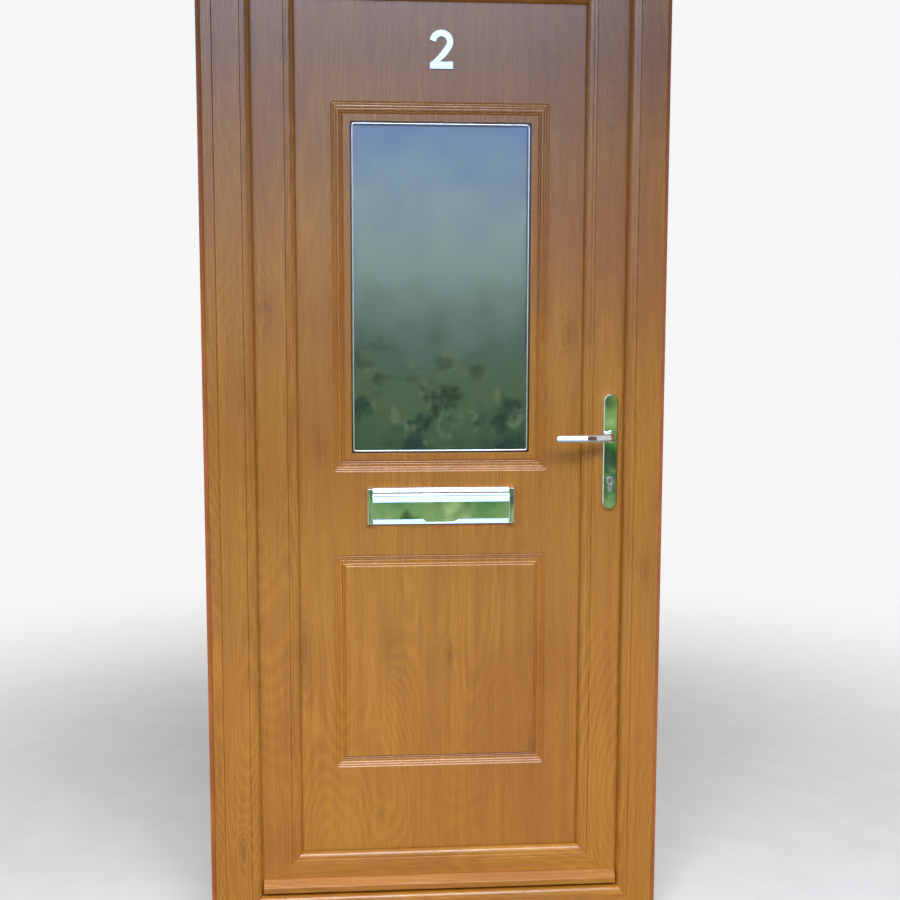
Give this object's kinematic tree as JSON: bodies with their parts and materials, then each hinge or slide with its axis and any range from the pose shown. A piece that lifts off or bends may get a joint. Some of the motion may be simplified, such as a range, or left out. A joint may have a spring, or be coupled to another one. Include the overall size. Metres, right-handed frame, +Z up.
{
  "type": "panelled front door",
  "caption": "Inward-opening panelled front door in its mitred frame, with a glazed upper light, letterplate, house number, lever handles and a key-wound lock.",
  "frame": {"origin": "centre of the frame's underside, halfway through the frame's 70 mm depth", "axes": "+Z up, +X to the right seen from outside, +Y into the house; the outer face looks along -Y"},
  "size_m": [0.941, 0.194, 2.079],
  "materials": {
    "frame_foil": "satin foil printed with oak grain",
    "sash_foil": "satin foil printed with oak grain",
    "panel_skin": "satin moulded skin printed with oak grain",
    "lite_bead": "satin foil printed with oak grain",
    "zinc_steel": "zinc plated",
    "screw_steel": "plated",
    "black_rubber": "matt black",
    "sealant": "glossy brown silicone",
    "foam": "closed-cell foam",
    "packer_plastic": "moulded",
    "glass": "clear float glass",
    "spacer_bar": "mill finish",
    "sleeve_plastic": "moulded",
    "chrome": "polished plate",
    "nickel": "satin nickel",
    "hinge_paint": "brown powder coat"
  },
  "bodies": {
    "frame": {"frame_jamb_left": "frame_foil", "frame_jamb_right": "frame_foil", "frame_head": "frame_foil", "frame_foot": "frame_foil", "frame_steels": "zinc_steel", "frame_extension": "frame_foil", "frame_gasket": "black_rubber", "perimeter_sealant": "sealant", "keep_centre": "zinc_steel", "keeps_hooks": "zinc_steel", "frame_screws": "screw_steel", "hinge_bracket_lower": "hinge_paint", "hinge_bracket_middle": "hinge_paint", "hinge_bracket_upper": "hinge_paint"},
    "leaf": {"sash_stile_hinge_side": "sash_foil", "sash_stile_lock_side": "sash_foil", "sash_rail_top": "sash_foil", "sash_rail_bottom": "sash_foil", "sash_steels": "zinc_steel", "sash_gasket": "black_rubber", "glazing_beads": "sash_foil", "panel_gasket_outer": "black_rubber", "panel_gasket_inner": "black_rubber", "panel_packers": "packer_plastic", "panel_outer_skin": "panel_skin", "panel_foam_core": "foam", "panel_inner_skin": "panel_skin", "lite_bead_outer": "lite_bead", "lite_bead_inner": "lite_bead", "glass_panes": "glass", "glass_spacer": "spacer_bar", "weather_bar": "sash_foil", "numeral_two": "chrome", "letterplate_frame_outer": "chrome", "letterplate_frame_inner": "chrome", "letterplate_sleeve": "sleeve_plastic", "letterplate_bolts": "screw_steel", "backplate_outer": "chrome", "backplate_inner": "chrome", "backplate_screws": "screw_steel", "lock_case": "zinc_steel", "hook_cases": "zinc_steel", "lock_faceplate": "zinc_steel", "cylinder_body": "nickel", "hinge_flag_lower": "hinge_paint", "hinge_flag_middle": "hinge_paint", "hinge_flag_upper": "hinge_paint", "leaf_screws": "screw_steel"},
    "levers": {"lever_outer": "chrome", "lever_inner": "chrome", "spindle": "zinc_steel", "lock_follower": "zinc_steel"},
    "latch": {"latch": "zinc_steel"},
    "deadbolt": {"deadbolt": "zinc_steel"},
    "hook_upper": {"hook_upper": "zinc_steel"},
    "hook_lower": {"hook_lower": "zinc_steel"},
    "cylinder_plug": {"cylinder_plug": "nickel"},
    "flap_outer": {"letterplate_flap_outer": "chrome"},
    "flap_inner": {"letterplate_flap_inner": "chrome"}
  },
  "joints": [
    {"name": "leaf_swing", "type": "hinge", "parent": "frame", "child": "leaf", "pos_m": [-0.4145, 0.068, 1.035], "axis": [0, 0, 1], "range_deg": [0, 100]},
    {"name": "lever_turn", "type": "hinge", "parent": "leaf", "child": "levers", "pos_m": [0.3505, 0.025, 1.042], "axis": [0, -1, 0], "range_deg": [0, 35], "stiffness_Nm_per_rad": 1.2, "springref_deg": -22.92},
    {"name": "latch_slide", "type": "slide", "parent": "leaf", "child": "latch", "axis": [-1, 0, 0], "range_m": [0, 0.01]},
    {"name": "key_turn", "type": "hinge", "parent": "leaf", "child": "cylinder_plug", "pos_m": [0.3505, 0.025, 0.95], "axis": [0, 1, 0], "range_deg": [0, 360]},
    {"name": "deadbolt_slide", "type": "slide", "parent": "leaf", "child": "deadbolt", "axis": [1, 0, 0], "range_m": [0, 0.018]},
    {"name": "hook_upper_swing", "type": "hinge", "parent": "leaf", "child": "hook_upper", "pos_m": [0.3705, 0.015, 1.65], "axis": [0, -1, 0], "range_deg": [0, 90]},
    {"name": "hook_lower_swing", "type": "hinge", "parent": "leaf", "child": "hook_lower", "pos_m": [0.3705, 0.015, 0.4], "axis": [0, -1, 0], "range_deg": [0, 90]},
    {"name": "outer_flap_lift", "type": "hinge", "parent": "leaf", "child": "flap_outer", "pos_m": [0, -0.0017, 0.9198], "axis": [-1, 0, 0], "range_deg": [0, 90], "stiffness_Nm_per_rad": 0.15, "springref_deg": -28.65},
    {"name": "inner_flap_lift", "type": "hinge", "parent": "leaf", "child": "flap_inner", "pos_m": [0, 0.0417, 0.9198], "axis": [1, 0, 0], "range_deg": [0, 90], "stiffness_Nm_per_rad": 0.15, "springref_deg": -28.65}
  ],
  "couplings": [
    {"joint": "latch_slide", "follows": "lever_turn", "m_per_rad": 0.0163},
    {"joint": "deadbolt_slide", "follows": "key_turn", "m_per_rad": 0.00286},
    {"joint": "hook_upper_swing", "follows": "key_turn", "ratio": 0.249},
    {"joint": "hook_lower_swing", "follows": "key_turn", "ratio": 0.249}
  ]
}
